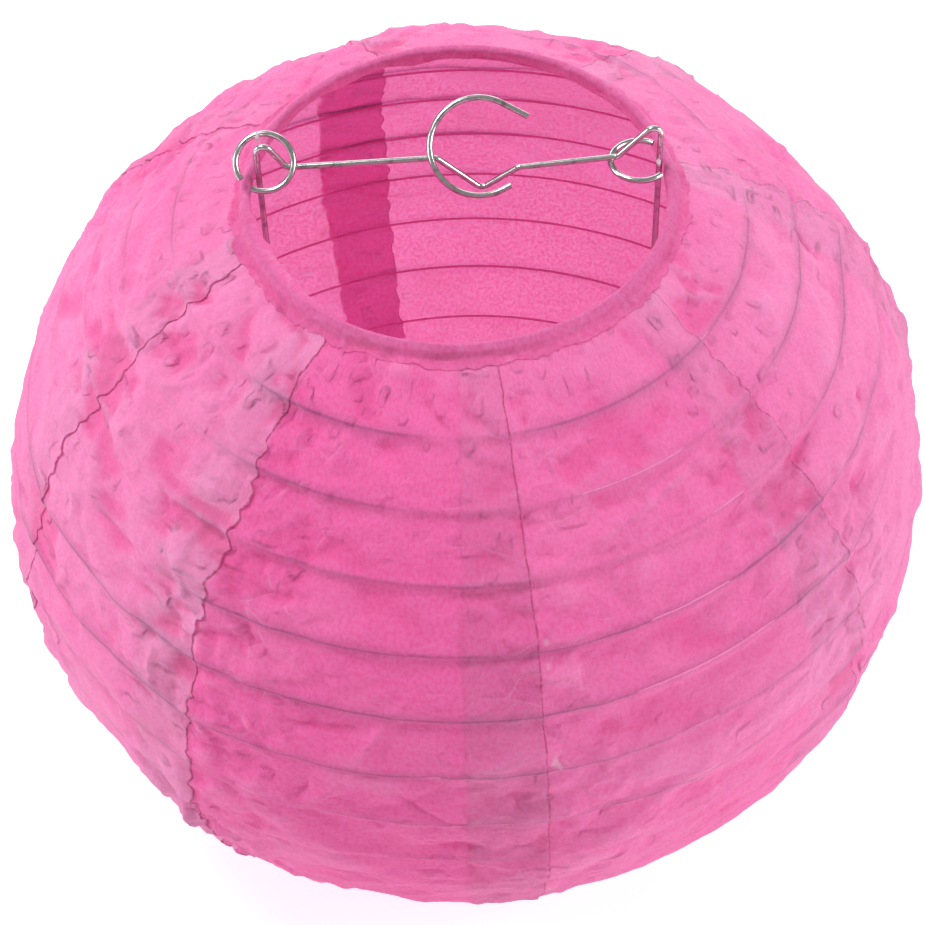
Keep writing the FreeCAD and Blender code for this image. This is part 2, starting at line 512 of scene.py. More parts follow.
    def between_ribs(self, bearing: np.ndarray, walked: np.ndarray) -> tuple[np.ndarray, np.ndarray]:
        """Sag of the paper below each rib, and how far each place is from a rib.

        Args:
            bearing: bearings in degrees.
            walked: distances along the curve.

        Returns:
            The sag, from 0 to 1, and the distance to the nearest rib.
        """
        stops = np.array([0.0, *self.ribs, self.curve.length()])
        band = np.clip(np.searchsorted(stops, walked, side="right") - 1, 0, len(stops) - 2)
        size = stops[band + 1] - stops[band]
        share = np.clip((walked - stops[band]) / size, 0.0, 1.0)
        turning = self.fall * (1.0 + 0.5 * self.noise(bearing, band * 9.0 * MM, 9.0 * MM, 6.0, 41))
        below = np.sin(np.clip(share / turning, 0.0, 1.0) * math.pi / 2.0)
        above = np.clip((1.0 - share) / (1.0 - turning), 0.0, 1.0)
        return np.where(share < turning, below, above**1.2), np.minimum(share, 1.0 - share) * size

    def near_seams(self, bearing: np.ndarray, radius: np.ndarray) -> np.ndarray:
        """How creased each place is because of a seam, from 0 upwards."""
        near = np.zeros_like(bearing)
        for seam in self.seams:
            away = np.radians(bearing_gap(bearing, seam.bearing)) * radius
            near = np.maximum(near, seam.creased * np.exp(-((away / self.crease_reach) ** 2)))
        return near

    def height(self, bearing: np.ndarray, walked: np.ndarray) -> tuple[np.ndarray, np.ndarray, np.ndarray]:
        """How far the paper stands off the plain curve.

        Args:
            bearing: bearings in degrees.
            walked: distances along the curve.

        Returns:
            The distance outwards, the part of it that folds and facets give, and the distance
            to the nearest rib.
        """
        radius = self.curve.side(walked)[0]
        total = self.curve.length()
        from_ring = np.minimum(walked, total - walked)
        held = smooth_step(from_ring, 0.0, self.held_reach)
        ridge = np.zeros_like(bearing)
        for seam in self.seams:
            ridge += seam.ridge * MM * np.exp(-np.abs(bearing_gap(bearing, seam.bearing)) / self.seam_reach)
        ridge *= 1.0 + 0.35 * self.noise(bearing, walked, 24.0 * MM, 5.0, 51)
        near_seam = self.near_seams(bearing, radius)
        sag, nearest = self.between_ribs(bearing, walked)
        sag_size = self.rib_sag * (1.0 + 0.6 * self.noise(bearing, walked, 20.7 * MM, 3.5, 52))
        uneven = self.noise(bearing, walked, self.swell[0], 1.0, 53) * self.swell[1]
        soft = self.noise(bearing, walked, self.ripple[0], 1.8, 54) * self.ripple[1]
        creases = self.crumple(bearing, walked, near_seam) + self.fold_height(bearing, walked, radius)
        on_rib = np.exp(-((nearest / self.rib_grip) ** 2))
        creases = creases * (1.0 - self.smoothed_on_rib * on_rib)
        standing = (
            ridge * smooth_step(from_ring, 0.0, self.ridge_fade)
            - sag * sag_size
            + (uneven + soft) * held
            + creases * (0.4 + 0.6 * held)
        )
        over_rib = np.exp(-((nearest / self.rib_ridge_width) ** 2))
        return np.maximum(standing, self.rib_ridge * over_rib - self.deepest), creases, nearest


class NodeTools:
    """Short ways to add and join the nodes that the finishes share."""

    def __init__(self, material: bpy.types.Material) -> None:
        """Work on one material's nodes.

        Args:
            material: the material.
        """
        material.use_nodes = True
        self.tree = material.node_tree

    def add(self, kind: str, inputs: dict[str, object], **settings: object) -> bpy.types.Node:
        """Add a node, set its inputs and its settings.

        Args:
            kind: the node's type.
            inputs: for each input, a value, or the socket that feeds it.
            settings: the node's own properties.

        Returns:
            The node.
        """
        node = self.tree.nodes.new(kind)
        for name, value in settings.items():
            setattr(node, name, value)
        for name, value in inputs.items():
            self.feed(node.inputs[name], value)
        return node

    def feed(self, socket: bpy.types.NodeSocket, value: object) -> None:
        """Give a socket a value, a colour, or a link from another socket."""
        if isinstance(value, bpy.types.NodeSocket):
            self.tree.links.new(value, socket)
        elif isinstance(value, tuple) and len(value) == 3 and socket.type == "RGBA":
            socket.default_value = (*value, 1.0)
        else:
            socket.default_value = value

    def ramp(
        self, value: bpy.types.NodeSocket, low: float, high: float, most: float = 1.0
    ) -> bpy.types.NodeSocket:
        """Turn a pattern between low and high into a share from 0 to most."""
        inputs = {"Value": value, "From Min": low, "From Max": high, "To Max": most}
        return self.add("ShaderNodeMapRange", inputs, interpolation_type="SMOOTHSTEP").outputs["Result"]

    def blend(self, first: object, second: object, share: object) -> bpy.types.NodeSocket:
        """Mix one colour towards another by a share."""
        mix = self.add("ShaderNodeMix", {}, data_type="RGBA")
        for place, value in (("Factor", share), ("A", first), ("B", second)):
            found = [one for one in mix.inputs if one.name == place and one.enabled]
            self.feed(found[0], value)
        return [one for one in mix.outputs if one.enabled][0]

    def combine(self, how: str, first: object, second: object) -> bpy.types.NodeSocket:
        """Combine two numbers by an operation."""
        node = self.add("ShaderNodeMath", {}, operation=how)
        self.feed(node.inputs[0], first)
        self.feed(node.inputs[1], second)
        return node.outputs[0]

    def noise(
        self, place: bpy.types.NodeSocket, scale: float, detail: float, roughness: float
    ) -> bpy.types.NodeSocket:
        """A noise pattern from 0 to 1."""
        inputs = {"Vector": place, "Scale": scale, "Detail": detail, "Roughness": roughness}
        return self.add("ShaderNodeTexNoise", inputs).outputs["Fac"]

    def painted(self, name: str) -> bpy.types.NodeSocket:
        """Read a number painted on the piece."""
        return self.add("ShaderNodeAttribute", {}, attribute_name=name).outputs["Fac"]


@dataclass(frozen=True)
class PaperFinish:
    """Dyed tissue paper: fibres, fine creases, light from behind, painted highlights on crests and crease
    lines, painted shade in creases, and the painted shadow of the rib's wire showing through.
    """

    name: str
    colour: tuple[float, float, float]
    # deep also gives the painted shade in creases; pale also gives the painted highlights and painted light
    deep: tuple[float, float, float]
    pale: tuple[float, float, float]
    glow: tuple[float, float, float]
    dense: tuple[float, float, float]
    rib_shadow: tuple[float, float, float] = (0.46, 0.12, 0.32)
    edge_shadow: tuple[float, float, float] = (0.42, 0.04, 0.16)
    glue: tuple[float, float, float] = (0.95, 0.74, 0.84)
    # painted light on folds: share of the pale colour painted on crests as a highlight, and of the deep colour
    # painted in creases as shade
    fold_light: float = 0.6
    # share of the pale colour painted as a highlight along crease lines
    crease_highlight: float = 0.8
    fibre_scale: float = 700.0
    crumple_scale: float = 120.0
    crumple_depth: float = 3.4 * MM
    through: float = 0.5
    roughness: float = 0.8
    sheen: float = 0.3

    def make(self) -> bpy.types.Material:
        """Build the material's nodes.

        Returns:
            The material.
        """
        material = bpy.data.materials.new(self.name)
        tools = NodeTools(material)
        tools.tree.nodes.clear()
        place = tools.add("ShaderNodeUVMap", {}, uv_map="Flat").outputs["UV"]
        fibres = tools.noise(place, self.fibre_scale, 3.0, 0.75)
        lines, crumples = self.crease_lines(tools, place)
        creases = tools.combine("MULTIPLY", lines, tools.painted("creased"))
        raised = tools.combine("MULTIPLY", crumples, tools.painted("creased"))
        mottled = tools.blend(self.colour, self.deep, tools.ramp(fibres, 0.42, 0.62, 0.4))
        # pale colour painted by random tone and by painted light on gores and lap bands
        toned_and_lit = tools.blend(mottled, self.pale, tools.painted("light_and_tone"))
        # painted highlight on fold crests and curled edges
        fold_light = tools.blend(toned_and_lit, self.pale, tools.combine("MULTIPLY", tools.painted("crest_highlight"), self.fold_light))
        # painted highlight along crease lines
        crease_highlight = tools.blend(fold_light, self.pale, tools.combine("MULTIPLY", creases, self.crease_highlight))
        # painted shade in fold valleys
        crease_shaded = tools.blend(crease_highlight, self.deep, tools.combine("MULTIPLY", tools.painted("valley_shade"), self.fold_light))
        # painted shadow of the rib wires, on the surface and in the light passing through
        wire = self.rib_shadow_line(tools)
        ribbed = tools.blend(crease_shaded, self.rib_shadow, wire)
        glued = tools.blend(ribbed, self.glue, tools.ramp(tools.painted("glue"), 0.35, 1.0, 0.8))
        # dark line at glued edges: partly glue, partly painted shadow of the edge
        edged = tools.blend(glued, self.edge_shadow, self.edge_line(tools, fibres))
        thick = tools.blend(self.glow, self.dense, tools.ramp(fibres, 0.40, 0.62))
        passing = tools.blend(thick, self.rib_shadow, wire)
        bump = tools.add("ShaderNodeBump", {"Strength": 0.9, "Distance": self.crumple_depth, "Height": raised})
        body = tools.add(
            "ShaderNodeBsdfPrincipled",
            {
                "Base Color": edged,
                "Roughness": self.roughness,
                "Specular IOR Level": 0.25,
                "Sheen Weight": self.sheen,
                "Sheen Roughness": 0.5,
                "Sheen Tint": (1.0, 0.85, 0.93),
                "Normal": bump.outputs["Normal"],
            },
        )
        behind = tools.add("ShaderNodeBsdfTranslucent", {"Color": passing})
        mix = tools.add("ShaderNodeMixShader", {"Fac": self.through})
        tools.feed(mix.inputs[1], body.outputs[0])
        tools.feed(mix.inputs[2], behind.outputs[0])
        tools.add("ShaderNodeOutputMaterial", {"Surface": mix.outputs[0]})
        return material

    def crease_lines(
        self, tools: NodeTools, place: bpy.types.NodeSocket
    ) -> tuple[bpy.types.NodeSocket, ...]:
        """Crumples with sharp edges between the cells of a warped pattern, and a painted highlight on their
        crease lines.

        Args:
            tools: the material's nodes.
            place: where on the flat paper.

        Returns:
            1 on a painted crease highlight and 0 off it, and the crumples' height.
        """
        stray = tools.add("ShaderNodeTexNoise", {"Vector": place, "Scale": 75.0, "Detail": 1.0})
        shifted = tools.add("ShaderNodeVectorMath", {}, operation="MULTIPLY_ADD")
        tools.feed(shifted.inputs[0], stray.outputs["Color"])
        tools.feed(shifted.inputs[1], (0.006, 0.004, 0.0))
        tools.feed(shifted.inputs[2], place)
        flatter = tools.add("ShaderNodeVectorMath", {}, operation="MULTIPLY")
        tools.feed(flatter.inputs[0], shifted.outputs[0])
        tools.feed(flatter.inputs[1], (0.5, 1.0, 1.0))
        inputs = {"Vector": flatter.outputs[0], "Scale": self.crumple_scale, "Randomness": 1.0}
        settings = {"feature": "DISTANCE_TO_EDGE", "voronoi_dimensions": "2D"}
        cells = tools.add("ShaderNodeTexVoronoi", inputs, **settings).outputs["Distance"]
        return tools.combine("SUBTRACT", 1.0, tools.ramp(cells, 0.0, 0.03)), cells

    @staticmethod
    def edge_line(tools: NodeTools, fibres: bpy.types.NodeSocket) -> bpy.types.NodeSocket:
        """The thin dark line along a glued edge, partly glue and partly painted shadow of the edge, broken
        where the fibres are pale.
        """
        line = tools.ramp(tools.painted("near_edge"), 0.5, 0.85)
        return tools.combine("MULTIPLY", line, tools.ramp(fibres, 0.36, 0.5, 0.8))

    @staticmethod
    def rib_shadow_line(tools: NodeTools) -> bpy.types.NodeSocket:
        """The painted shadow of a rib's wire behind the paper, a thin dark line with soft shade beside it,
        clear in some stretches only.
        """
        gap = tools.painted("rib_gap")
        near = tools.combine("SUBTRACT", 1.0, tools.ramp(gap, 0.1, 0.9))
        soft = tools.combine("SUBTRACT", 1.0, tools.ramp(gap, 0.3, 3.4))
        both = tools.combine("MAXIMUM", near, tools.combine("MULTIPLY", soft, 0.36))
        return tools.combine("MULTIPLY", both, tools.painted("rib_clear"))


@dataclass(frozen=True)
class WireFinish:
    """Drawn steel wire, bright or dull, with fine lines, faint stains and painted dark reflections towards its
    edges.
    """

    name: str
    colour: tuple[float, float, float]
    # stain colour, also painted as a dark reflection towards the wire's edges
    stain_and_edge_shade: tuple[float, float, float]
    roughness: float
    metallic: float = 1.0

    def make(self) -> bpy.types.Material:
        """Build the material's nodes.

        Returns:
            The material.
        """
        material = bpy.data.materials.new(self.name)
        tools = NodeTools(material)
        tools.tree.nodes.clear()
        place = tools.add("ShaderNodeTexCoord", {}).outputs["Object"]
        marks = tools.noise(place, 330.0, 5.0, 0.6)
        dull = tools.add(
            "ShaderNodeMapRange",
            {"Value": marks, "To Min": self.roughness * 0.6, "To Max": self.roughness * 1.5},
        )
        bump = tools.add("ShaderNodeBump", {"Strength": 0.2, "Distance": 0.05 * MM, "Height": marks})
        # painted dark reflection: the colour turns to the stain colour where the wire is seen side-on
        facing = tools.add("ShaderNodeLayerWeight", {"Blend": 0.5}).outputs["Facing"]
        edge_shaded = tools.blend(self.colour, self.stain_and_edge_shade, tools.ramp(facing, 0.25, 0.85))
        body = tools.add(
            "ShaderNodeBsdfPrincipled",
            {
                "Base Color": tools.blend(edge_shaded, self.stain_and_edge_shade, tools.ramp(marks, 0.46, 0.72, 0.6)),
                "Metallic": self.metallic,
                "Roughness": dull.outputs["Result"],
                "Normal": bump.outputs["Normal"],
            },
        )
        tools.add("ShaderNodeOutputMaterial", {"Surface": body.outputs[0]})
        return material


@dataclass
class PaperShade:
    """The eight lapped gores and the two folded hems."""

    curve: ShadeCurve
    relief: PaperRelief
    seams: tuple[Seam, ...]
    paper: PaperFinish
    hem_paper: PaperFinish
    lap: float = 9.5
    sheet: float = 0.15 * MM
    lap_drop: float = 0.22 * MM
    step: float = 1.1 * MM
    hem_reach: float = 5.3 * MM
    hem_turn: float = math.radians(112.0)
    chord: tuple[float, float] = (275.0, 322.0)
    chord_depth: float = 2.8 * MM
    edge_line_reach: float = 1.2 * MM
    ring_gap: float = 1.7 * MM
    curl_cell: float = 6.0 * MM
    curl_patch: float = 22.0 * MM
    curl_fall: float = 2.4 * MM
    # painted light on the doubled paper at the outer lap and on the hidden lap band, making up for less light
    # through two layers
    doubled_lap_light: float = 0.21
    hidden_lap_light: float = 0.5
    hem_inside: float = 3.4 * MM

    def build(self) -> list[bpy.types.Object]:
        """Make every gore and both hems.

        Returns:
            The pieces.
        """
        paper = self.paper.make()
        folded = self.hem_paper.make()
        pieces = []
        for number, seam in enumerate(self.seams, start=1):
            piece = self.gore(number, self.seams[number - 2].bearing - self.lap, seam)
            piece.data.materials.append(paper)
            pieces.append(piece)
        for end in End:
            piece = self.hem(end)
            piece.data.materials.append(folded)
            pieces.append(piece)
        return pieces

    def rows(self) -> np.ndarray:
        """Distances walked for the rows of a gore, so that every rib has a row of its own."""
        top = self.ring_gap
        bottom = self.curve.length() - self.ring_gap
        step = self.step * 1.0
        stops = [top, *self.relief.ribs, bottom]
        places = [np.array([top])]
        for first, last in zip(stops, stops[1:]):
            count = max(2, round((last - first) / step))
            places.append(np.linspace(first, last, count + 1)[1:])
        return np.concatenate(places)

    def edge_line(self, walked: np.ndarray, stray: float, key: int) -> np.ndarray:
        """How far a torn and glued edge strays sideways, in metres."""
        mark = np.full_like(walked, key * 31.0)
        wide = self.relief.noise(mark, walked, 17.0 * MM, 1.0, 60 + key)
        scallop = np.abs(self.relief.noise(mark, walked, 10.0 * MM, 1.0, 65 + key)) - 0.4
        teeth = self.relief.facets(mark, walked, 2.4 * MM, 1.0, 0.0, 70 + key)
        return (wide * 0.35 + scallop * 0.75 + teeth * 0.75) * stray * MM

    def gore(self, number: int, start: float, seam: Seam) -> bpy.types.Object:
        """Make one gore, its left edge under the last gore and its right edge on the next.

        Args:
            number: the gore's number, as in its node's name.
            start: bearing of the hidden edge.
            seam: the seam at its outer edge.

        Returns:
            The gore, riding on the base.
        """
        span = (seam.bearing - start) % 360.0
        width = math.radians(span) * self.curve.radius
        step = self.step * 1.0
        stops = self.rows()
        piece, across, up = grid_sheet(f"gore_paper_{number}", round(width / step), len(stops) - 1)
        walked = np.interp((1.0 - up) * (len(stops) - 1), np.arange(len(stops)), stops)
        radius, height, out, rise = self.curve.side(walked)
        outer_edge = np.degrees(self.edge_line(walked, seam.stray, number) / radius)
        hidden_edge = np.degrees(self.edge_line(walked, 1.4, number + 20) / radius)
        bearing = start + hidden_edge + across * (span + outer_edge - hidden_edge)
        standing, creases, nearest = self.relief.height(bearing, walked)
        from_end = np.radians(start + span + outer_edge - bearing) * radius
        from_start = np.radians(bearing - start - hidden_edge) * radius
        lap = math.radians(self.lap) * radius
        under = 1.0 - smooth_step(from_start, lap * 1.02, lap * 1.4)
        mark = np.full_like(walked, number * 17.0)
        curl = np.abs(self.relief.facets(mark, walked, self.curl_cell, 1.0, 0.0, 90 + number))
        patch = smooth_step(self.relief.noise(mark, walked, self.curl_patch, 1.0, 100 + number), -0.2, 0.5)
        lift = curl * patch * seam.curl * np.exp(-from_end / self.curl_fall) * MM
        off = standing + lift - under * self.lap_drop
        turn = np.radians(bearing)
        spread = radius + off * out
        places = np.stack([spread * np.sin(turn), -spread * np.cos(turn), height + off * rise], axis=1)
        move_vertices(piece, places)
        lay_out_uv(piece, turn * self.curve.radius, -walked)
        self.paint_light_and_marks(piece, bearing, walked, creases, from_end, lift, start, seam)
        paint_attribute(piece, "rib_gap", nearest / MM)
        paint_attribute(piece, "near_edge", np.clip(1.0 - from_end / self.edge_line_reach, 0.0, 1.0))
        apply_modifier(piece, "SOLIDIFY", thickness=self.sheet, offset=-1.0)
        shade_smooth(piece)
        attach(piece, "shade_base")
        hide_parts(f"gore_{number}")
        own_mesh(piece)
        return piece

    def paint_light_and_marks(
        self,
        piece: bpy.types.Object,
        bearing: np.ndarray,
        walked: np.ndarray,
        creases: np.ndarray,
        from_end: np.ndarray,
        lift: np.ndarray,
        start: float,
        seam: Seam,
    ) -> None:
        """Mark a gore's painted highlights on crests and curled edges, painted shade in creases, tone with
        painted light, the strength of the rib's painted shadow and specks of dried glue.

        Args:
            piece: the gore.
            bearing: each vertex's bearing.
            walked: each vertex's distance along the curve.
            creases: the height of its folds.
            from_end: its distance from the outer edge.
            lift: how far the edge curls up there.
            start: bearing of the hidden edge.
            seam: the seam at its outer edge.
        """
        # painted highlight on curled-up edges and on fold crests
        edge = np.exp(-from_end / (0.6 * MM)) * smooth_step(lift, 0.1 * MM, 0.6 * MM)
        crest_highlight = smooth_step(creases, 0.8 * MM, 2.0 * MM) * 0.5 + edge
        paint_attribute(piece, "crest_highlight", np.clip(crest_highlight, 0.0, 1.0))
        # painted shade in fold valleys
        paint_attribute(piece, "valley_shade", smooth_step(-creases, 0.8 * MM, 2.0 * MM))
        tone = self.relief.noise(bearing, walked, 45.0 * MM, 1.5, 141) * 0.16
        clouds = self.relief.noise(bearing, walked, 9.0 * MM, 1.8, 142) * 0.10
        radius = self.curve.side(walked)[0]
        lap = math.radians(self.lap) * radius
        # painted light on the doubled outer lap and the hidden lap band
        doubled = 1.0 - smooth_step(from_end, lap * 0.93, lap)
        lapped = 1.0 - smooth_step(np.radians(bearing - start) * radius, lap * 0.95, lap)
        # random tone plus each gore's painted light
        light_and_tone = seam.light_and_tone + tone + clouds + doubled * self.doubled_lap_light + lapped * self.hidden_lap_light
        paint_attribute(piece, "light_and_tone", np.clip(light_and_tone, 0.0, 1.0))
        shown = smooth_step(self.relief.noise(bearing, walked, 3.6 * MM, 1.8, 143), 0.25, 0.55)
        near_seam = self.relief.near_seams(bearing, radius)
        paint_attribute(piece, "creased", np.clip(shown * (0.45 + 0.75 * near_seam), 0.0, 1.0))
        # strength of each rib's painted shadow
        clear = smooth_step(self.relief.noise(bearing, walked, 30.0 * MM, 2.2, 144), -0.55, 0.35)
        paint_attribute(piece, "rib_clear", clear * 0.5)
        glue = np.zeros_like(bearing)
        blob = self.relief.noise(bearing, walked, 2.6 * MM, 1.0, 121)
        patch = self.relief.noise(bearing, walked, 30.0 * MM, 1.0, 122)
        for other in self.seams:
            beyond = np.radians(bearing_gap(bearing, other.bearing)) * self.curve.radius
            band = smooth_step(beyond, -0.5 * MM, 1.0 * MM) * (1.0 - smooth_step(beyond, 3.5 * MM, 6.0 * MM))
            specks = smooth_step(blob, 0.45, 0.75) * smooth_step(patch, 0.35 - other.glue, 0.65 - other.glue)
            glue = np.maximum(glue, band * specks * min(1.0, other.glue * 3.0))
        paint_attribute(piece, "glue", glue)

    def hem(self, end: End) -> bpy.types.Object:
        """Make one hem: paper turned over the ring's wire, with a ragged flap outside.

        Args:
            end: which ring.

        Returns:
            The hem, riding on its ring's body.
        """
        top = end is End.TOP
        name = "top" if top else "bottom"
        ring = self.curve.top_ring if top else self.curve.bottom_ring
        centre = self.curve.top_height if top else self.curve.bottom_height
        low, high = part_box(f"{name}_ring")
        sleeve = (high.z - low.z) / 2.0 + 0.20 * MM
        total = self.curve.length()
        piece, across, along = grid_sheet(f"{name}_hem_paper", 760, 40)
        bearing = across * 360.0
        near = np.full_like(bearing, 6.0 * MM if top else total - 6.0 * MM)
        ragged = self.relief.facets(bearing, near, 4.0 * MM, 1.0, 0.0, 131 + end.value)
        wavy = self.relief.noise(bearing, near, 16.0 * MM, 1.0, 133 + end.value)
        reach = self.hem_reach + (ragged * 0.8 + wavy * 1.2) * MM
        uneven = self.relief.noise(bearing, near, 20.0 * MM, 1.0, 137 + end.value)
        inner = self.hem_inside * (1.0 + 0.35 * uneven)
        bend = sleeve * self.hem_turn
        path = along * (inner + bend + reach)
        round_it = np.clip((path - inner) / sleeve, 0.0, self.hem_turn)
        outside = np.maximum(path - inner - bend, 0.0)
        inside = np.maximum(inner - path, 0.0)
        walked = sleeve * 0.45 + outside
        if not top:
            walked = total - walked
        side_radius, side_height, out, rise = self.curve.side(walked)
        standing = self.relief.height(bearing, walked)[0]
        pleats = self.relief.facets(bearing, near + path, 1.5 * MM, 11.0, 0.0, 139 + end.value)
        crumbs = self.relief.facets(bearing, near + path, 2.2 * MM, 1.5, 0.0, 149)
        crinkle = (pleats * 0.20 + crumbs * 0.16) * MM
        settled = smooth_step(outside, 0.0, 3.4 * MM)
        cover = sleeve * (1.0 - settled) + (standing + 0.20 * MM) * settled + np.maximum(crinkle, -0.1 * MM)
        inward = self.straightened(bearing) if top else bearing * 0.0
        turn_radius = ring - sleeve * np.cos(round_it) - inward * np.clip(np.cos(round_it) * 1.6, 0.0, 1.0)
        turn_height = centre + end.value * (sleeve * np.sin(round_it) - inside)
        flap = smooth_step(outside, 0.0, 1.0 * MM)
        radius = turn_radius * (1.0 - flap) + (side_radius + cover * out) * flap
        height = turn_height * (1.0 - flap) + (side_height + cover * rise) * flap
        rolled = np.maximum(crinkle, -0.04 * MM) * (1.0 - flap)
        radius -= rolled * np.cos(round_it)
        height += np.maximum(rolled, 0.0) * np.sin(round_it) * end.value
        lift = np.abs(ragged) * smooth_step(along, 0.8, 1.0) * 0.2 * MM
        radius += lift * out
        height += lift * rise
        if not top:
            height = np.maximum(height, 0.1 * MM)
        turn = np.radians(bearing)
        places = np.stack([radius * np.sin(turn), -radius * np.cos(turn), height], axis=1)
        move_vertices(piece, places)
        lay_out_uv(piece, turn * ring, path)
        # painted highlight on the hem's crinkle crests and painted shade in its valleys
        paint_attribute(piece, "crest_highlight", smooth_step(crinkle + lift, 0.16 * MM, 0.5 * MM))
        paint_attribute(piece, "valley_shade", smooth_step(-crinkle, 0.12 * MM, 0.3 * MM))
        paint_attribute(piece, "creased", along * 0.0 + 0.4)
        in_edit_mode(piece)
        bpy.ops.mesh.remove_doubles(threshold=0.01 * MM)
        out_of_edit_mode()
        apply_modifier(piece, "SOLIDIFY", thickness=0.14 * MM, offset=1.0)
        shade_smooth(piece)
        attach(piece, "shade_top" if top else "shade_base")
        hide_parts(f"{name}_hem")
        return piece

    def straightened(self, bearing: np.ndarray) -> np.ndarray:
        """How far the fold runs inside the ring, where the paper is pulled straight across a bend."""
        first, last = self.chord
        share = np.clip((bearing - first) / (last - first), 0.0, 1.0)
        bow = np.sin(share * math.pi) ** 0.8 * self.chord_depth
        uneven = self.relief.noise(bearing, bearing * 0.0, 9.0 * MM, 1.0, 145) * 0.35 * MM
        return np.maximum(bow + uneven, 0.0)


@dataclass
class WireWork:
    """The finishes of the rings, ribs and expander, and the expander's weld beads and dried glue."""

    bright: WireFinish
    dull: WireFinish
    thin: WireFinish
    bead: float = 1.25 * MM
    seed: int = 3

    def dress(self) -> None:
        """Give every wire node of the frame its finish."""
        bright, dull, thin = self.bright.make(), self.dull.make(), self.thin.make()
        for name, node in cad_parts.items():
            if name.startswith("gore") or name.endswith("hem"):
                continue
            finish = dull if name in ("top_ring", "bottom_ring") else bright
            if name.startswith("rib_"):
                finish = thin
            node.data.materials.clear()
            node.data.materials.append(finish)
            LOG.info("%s: %s", name, finish.name)
        for piece in (self.beads(), self.dried_glue()):
            LOG.info("built %s with %d faces", piece.name, len(piece.data.polygons))

    def weld_places(self) -> list[Vector]:
        """Where each clip and the open ring are welded to the bent wire."""
        bar_low, bar_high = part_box("frame_wire")
        middle = (bar_low.y + bar_high.y) / 2.0
        ring_low, ring_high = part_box("top_ring")
        crossbar = (ring_low.z + ring_high.z) / 2.0 + CROSSBAR_ABOVE_RING
        wire = bar_high.y - bar_low.y
        foot = bar_low.z + wire / 2.0
        places = []
        for clip, bar, side in (
            ("left_rim_clip", crossbar, 0.5),
            ("right_rim_clip", crossbar, -0.5),
            ("left_foot_clip", foot, -0.5),
            ("right_foot_clip", foot, -0.5),
        ):
            low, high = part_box(clip)
            inner = high.x - wire / 2.0 if clip.startswith("left") else low.x + wire / 2.0
            places.append(Vector((inner, middle, bar + wire * side)))
        socket_low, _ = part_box("socket_ring")
        places.append(Vector((socket_low.x + wire / 2.0, middle + wire * 0.1, crossbar + wire * 1.4)))
        return places

    def blobs(self, name: str, places: list[Vector], size: float, rough: float) -> bpy.types.Object:
        """Make small uneven lumps as one piece that rides on the expander.

        Args:
            name: the piece's name.
            places: where the lumps are.
            size: their radius.
            rough: how uneven they are, as a share of the radius.

        Returns:
            The piece.
        """
        chance = np.random.default_rng(self.seed)
        lumps = []
        for place in places:
            clear_selection()
            bpy.ops.mesh.primitive_ico_sphere_add(subdivisions=3, radius=size, location=place)
            lump = bpy.context.object
            lump.scale = tuple(chance.uniform(0.7, 1.35, 3))
            settle(lump)
            for vertex in lump.data.vertices:
                away = vertex.co - place
                x, y, z = away / size
                wave = math.sin(x * 5.0 + 1.3) + math.sin(y * 6.0) + math.sin(z * 7.0)
                vertex.co = place + away * (1.0 + rough * wave / 3.0 + rough * chance.uniform(-0.25, 0.25))
            lumps.append(lump)
        clear_selection()
        for lump in lumps:
            lump.select_set(True)
        bpy.context.view_layer.objects.active = lumps[0]
        bpy.ops.object.join()
        piece = bpy.context.object
        piece.name = name
        piece.data.name = name
        settle(piece)
        bpy.ops.object.origin_set(type="ORIGIN_CURSOR")
        shade_smooth(piece)
        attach(piece, "expander")
        return piece

    def beads(self) -> bpy.types.Object:
        """Make the weld beads of the clips and the open ring."""
        piece = self.blobs("weld_beads", self.weld_places(), self.bead, 0.12)
        finish = WireFinish("weld_bead", (0.62, 0.60, 0.57), (0.36, 0.33, 0.30), 0.4)
        piece.data.materials.append(finish.make())
        return piece

    def dried_glue(self) -> bpy.types.Object:
        """Make the flakes of dried glue and torn paper that cling to the clips and legs."""
        left_low, left_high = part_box("left_rim_clip")
        _, right_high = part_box("right_rim_clip")
        bar_low, bar_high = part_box("frame_wire")
        middle = (bar_low.y + bar_high.y) / 2.0
        wire = bar_high.y - bar_low.y
        places = [
            Vector((left_low.x + 4.2 * wire, left_high.y - wire, left_high.z - 0.7 * wire)),
            Vector((left_low.x + 0.5 * wire, middle + wire, (left_low.z + left_high.z) / 2.0)),
            Vector((bar_low.x + wire / 2.0, middle + wire * 0.6, left_low.z - 2.0 * wire)),
            Vector((right_high.x - 0.5 * wire, middle - wire, right_high.z)),
        ]
        piece = self.blobs("dried_glue", places, self.bead * 0.8, 0.5)
        finish = PaperFinish(
            "dried_glue",
            colour=(0.90, 0.74, 0.82),
            deep=(0.86, 0.50, 0.66),
            pale=(0.97, 0.92, 0.94),
            glow=(0.95, 0.85, 0.90),
            dense=(0.92, 0.75, 0.84),
            through=0.3,
        )
        piece.data.materials.append(finish.make())
        return piece


@dataclass(frozen=True)
class Softbox:
    """A square soft light: where it hangs, its side in metres and its power in watts."""

    name: str
    place: tuple[float, float, float]
    size: float
    power: float


